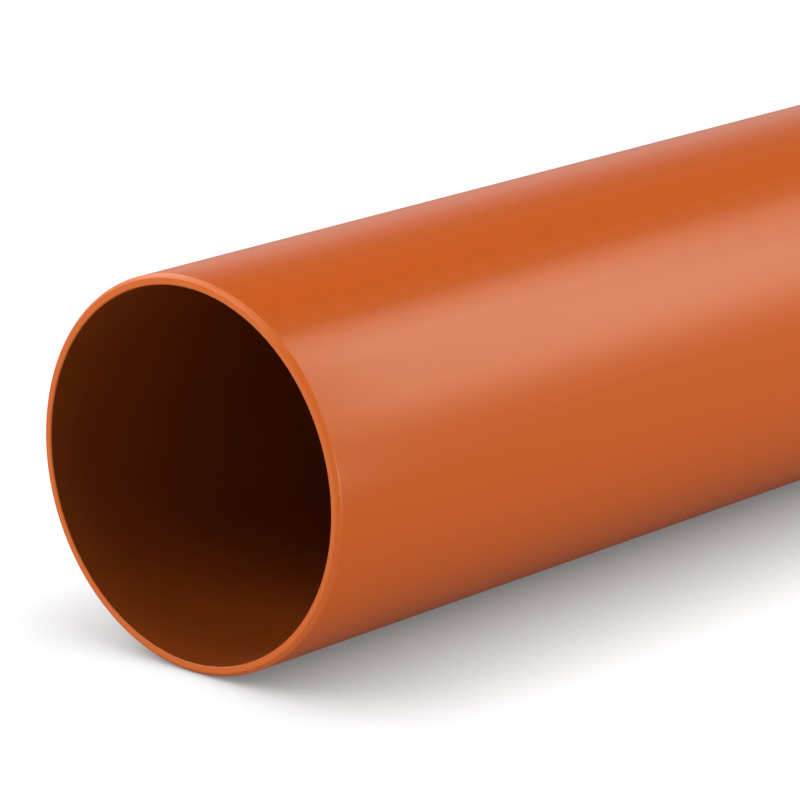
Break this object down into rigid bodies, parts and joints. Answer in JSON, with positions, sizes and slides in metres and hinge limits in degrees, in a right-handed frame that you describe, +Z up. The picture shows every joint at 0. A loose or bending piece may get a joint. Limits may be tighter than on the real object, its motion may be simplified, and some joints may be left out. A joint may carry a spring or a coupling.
{
  "type": "sewer pipe",
  "caption": "Straight round plastic drain pipe with plain bevelled ends and an open bore, for buried gravity sewers.",
  "frame": {"origin": "on the floor under the middle of the pipe's length, at the centre of its bounding box's base", "axes": "+Z up; +X along the pipe's axis, away from the end that the picture shows; +Y across the pipe"},
  "size_m": [1, 0.16, 0.1599],
  "materials": {
    "pvc": "extruded PVC-U, orange-brown, smooth with a satin gloss; sawn end faces"
  },
  "bodies": {
    "root": {"pipe": "pvc"}
  },
  "joints": []
}
